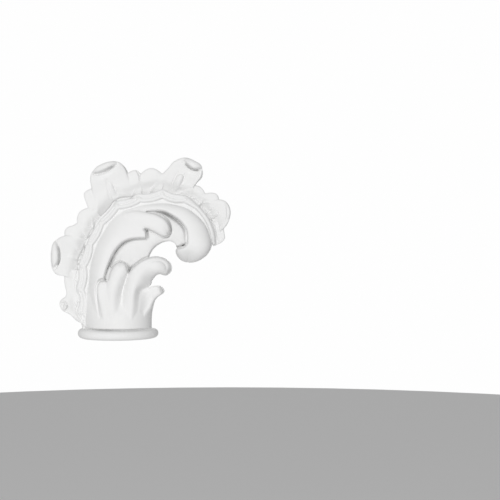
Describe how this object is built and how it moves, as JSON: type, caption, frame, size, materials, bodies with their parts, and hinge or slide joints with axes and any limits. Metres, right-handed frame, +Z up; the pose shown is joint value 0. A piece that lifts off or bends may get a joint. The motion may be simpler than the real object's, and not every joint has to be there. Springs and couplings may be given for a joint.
{
  "type": "moulding end ornament",
  "caption": "Cast scroll ornament with a flat back, a half-round collar, a leaf, a C-scroll with a round hook, a waved ribbon and a shell frill, for the end of a wall moulding.",
  "frame": {"origin": "on the flat back, on the centre line of the moulding, 40 mm above the underside of the collar", "axes": "+Y out of the flat back into the wall, +Z up along the moulding's run, away from the moulding, +X along the wall towards the hook"},
  "size_m": [0.1417, 0.0295, 0.1427],
  "materials": {
    "primed_white": "matte primer on cast hard polyurethane foam"
  },
  "bodies": {
    "root": {"moulding_end_ornament": "primed_white"}
  },
  "joints": []
}
